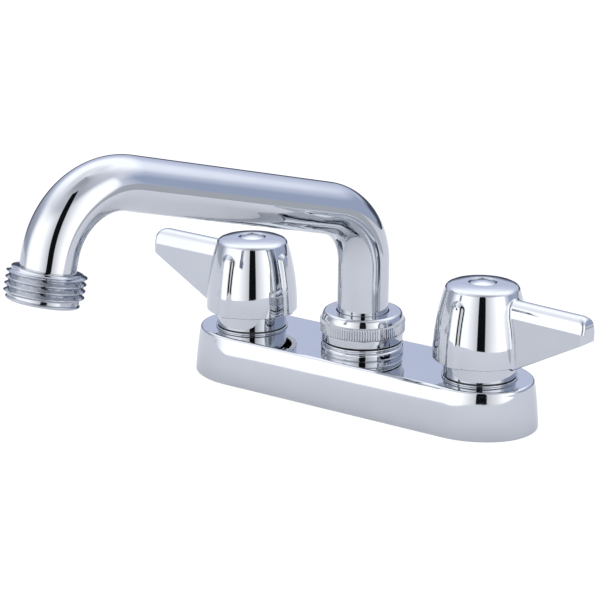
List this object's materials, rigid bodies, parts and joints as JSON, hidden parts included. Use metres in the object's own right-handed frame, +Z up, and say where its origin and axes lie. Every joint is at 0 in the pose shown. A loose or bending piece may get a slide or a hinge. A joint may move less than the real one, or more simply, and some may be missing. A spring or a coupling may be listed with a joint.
{
  "type": "utility sink faucet",
  "caption": "Deck-mounted utility sink faucet with canopy lever handles and a swinging tubular spout that ends in a male garden hose thread.",
  "frame": {"origin": "point where the spout's swivel axis meets the deck's top face, on which the cover and its gasket rest", "axes": "+Z up along the spout's swivel axis, +X from the hot valve to the cold valve, -Y towards the user"},
  "size_m": [0.1931, 0.1702, 0.1535],
  "materials": {
    "chrome": "polished chrome plate",
    "satin_chrome": "satin chrome plate",
    "brass": "machined brass",
    "cast_brass": "cast brass",
    "steel": "zinc-plated steel",
    "rubber": "matte",
    "fibre": "pressed fibre",
    "white_plastic": "matte"
  },
  "bodies": {
    "base": {"cover_shell": "chrome", "deck_gasket": "rubber", "valve_body": "cast_brass", "hot_shank": "brass", "cold_shank": "brass", "deck_washers": "steel", "lock_nuts": "brass", "hot_seat": "brass", "cold_seat": "brass", "hot_bonnet": "brass", "cold_bonnet": "brass", "hot_bonnet_washer": "fibre", "cold_bonnet_washer": "fibre", "hot_cover_ring": "chrome", "cold_cover_ring": "chrome", "spout_hub": "chrome", "spout_nut": "satin_chrome", "friction_ring": "white_plastic"},
    "spout": {"spout_tube": "chrome", "spout_collar": "brass", "spout_o_ring": "rubber", "hose_end": "chrome"},
    "hot_plunger": {"hot_seat_washer": "rubber", "hot_washer_screw": "brass"},
    "hot_valve": {"hot_stem": "brass", "hot_stem_ring": "rubber", "hot_handle": "chrome", "hot_handle_screw": "steel", "hot_index_button": "chrome"},
    "cold_plunger": {"cold_seat_washer": "rubber", "cold_washer_screw": "brass"},
    "cold_valve": {"cold_stem": "brass", "cold_stem_ring": "rubber", "cold_handle": "chrome", "cold_handle_screw": "steel", "cold_index_button": "chrome"}
  },
  "joints": [
    {"name": "spout_swivel", "type": "hinge", "parent": "base", "child": "spout", "pos_m": [0, 0, 0.03], "axis": [0, 0, 1], "continuous": true},
    {"name": "hot_lift", "type": "slide", "parent": "base", "child": "hot_plunger", "axis": [0, 0, 1], "range_m": [0, 0.00194]},
    {"name": "hot_turn", "type": "hinge", "parent": "hot_plunger", "child": "hot_valve", "pos_m": [-0.0508, 0, 0.03], "axis": [0, 0, 1], "range_deg": [0, 110]},
    {"name": "cold_lift", "type": "slide", "parent": "base", "child": "cold_plunger", "axis": [0, 0, 1], "range_m": [0, 0.00194]},
    {"name": "cold_turn", "type": "hinge", "parent": "cold_plunger", "child": "cold_valve", "pos_m": [0.0508, 0, 0.03], "axis": [0, 0, -1], "range_deg": [0, 110]}
  ],
  "couplings": [
    {"joint": "hot_lift", "follows": "hot_turn", "m_per_rad": 0.00101},
    {"joint": "cold_lift", "follows": "cold_turn", "m_per_rad": 0.00101}
  ]
}
